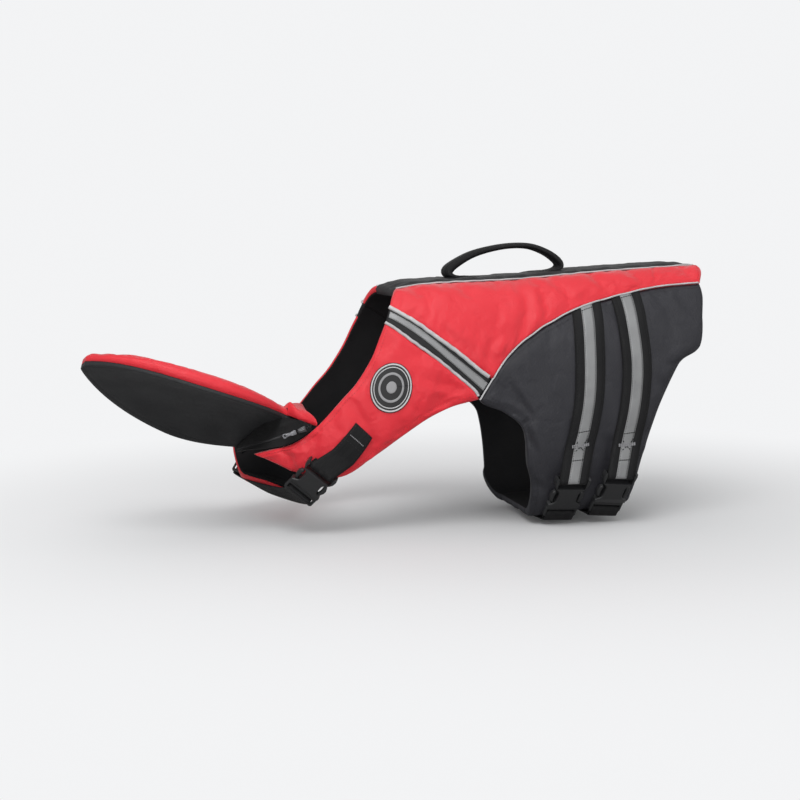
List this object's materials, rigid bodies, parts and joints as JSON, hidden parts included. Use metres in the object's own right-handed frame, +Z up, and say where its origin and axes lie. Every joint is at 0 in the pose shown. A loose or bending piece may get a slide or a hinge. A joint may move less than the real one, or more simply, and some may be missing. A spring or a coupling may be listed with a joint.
{
  "type": "dog life jacket",
  "caption": "Padded swim vest for a dog, with a lifting handle, side-release buckles, reflective strips and a chin float zipped to the chest.",
  "frame": {"origin": "on the inner face of the spine panel, under the middle of the lifting handle", "axes": "+X along the back towards the tail, +Z up, -Y the wearer's left side"},
  "size_m": [0.757, 0.2363, 0.3398],
  "materials": {
    "red_oxford": "coated woven polyester",
    "black_oxford": "coated woven polyester",
    "charcoal_ripstop": "ripstop weave",
    "black_webbing": "woven webbing",
    "reflective_tape": "silver reflective",
    "pale_piping": "smooth cord",
    "buckle_plastic": "satin moulded",
    "badge_rubber": "matt",
    "zip_metal": "polished"
  },
  "bodies": {
    "jacket": {"badge": "badge_rubber", "belly_flap_left": "charcoal_ripstop", "belly_flap_right": "charcoal_ripstop", "belly_panel": "charcoal_ripstop", "buckle_belly_front": "buckle_plastic", "buckle_belly_rear": "buckle_plastic", "buckle_chest_left": "buckle_plastic", "buckle_chest_right": "buckle_plastic", "chest_strap": "black_webbing", "chest_webbing_left": "black_webbing", "chest_webbing_right": "black_webbing", "chest_wing_left": "red_oxford", "chest_wing_right": "red_oxford", "clip_belly_front": "buckle_plastic", "clip_belly_rear": "buckle_plastic", "clip_chest_left": "buckle_plastic", "clip_chest_right": "buckle_plastic", "float_cover": "red_oxford", "float_underside": "black_oxford", "lifting_handle": "black_webbing", "lining_upper_left": "black_oxford", "lining_upper_right": "black_oxford", "lining_wing_left": "black_oxford", "lining_wing_right": "black_oxford", "neck_bridge": "red_oxford", "piping_band_bottom_left": "pale_piping", "piping_band_bottom_right": "pale_piping", "piping_band_top_left": "pale_piping", "piping_band_top_right": "pale_piping", "piping_seam_left": "pale_piping", "piping_seam_right": "pale_piping", "piping_spine_left": "pale_piping", "piping_spine_right": "pale_piping", "shoulder_band_left": "black_oxford", "shoulder_band_right": "black_oxford", "shoulder_tape_left": "reflective_tape", "shoulder_tape_right": "reflective_tape", "spine_panel": "black_oxford", "stripe_front_left": "reflective_tape", "stripe_front_right": "reflective_tape", "stripe_rear_left": "reflective_tape", "stripe_rear_right": "reflective_tape", "upper_side_left": "red_oxford", "upper_side_right": "red_oxford", "webbing_front_left": "black_webbing", "webbing_front_right": "black_webbing", "webbing_rear_left": "black_webbing", "webbing_rear_right": "black_webbing", "zip_slider": "zip_metal", "zip_tape_lower": "black_webbing", "zip_tape_upper": "black_webbing", "zip_teeth": "black_webbing"},
    "pull_tab": {"zip_pull": "zip_metal"}
  },
  "joints": [
    {"name": "pull_tab_hinge", "type": "hinge", "parent": "jacket", "child": "pull_tab", "pos_m": [-0.27624, -0.0945, -0.16486], "axis": [-0.3134, 0.1093, 0.9433], "range_deg": [0, 110]}
  ]
}
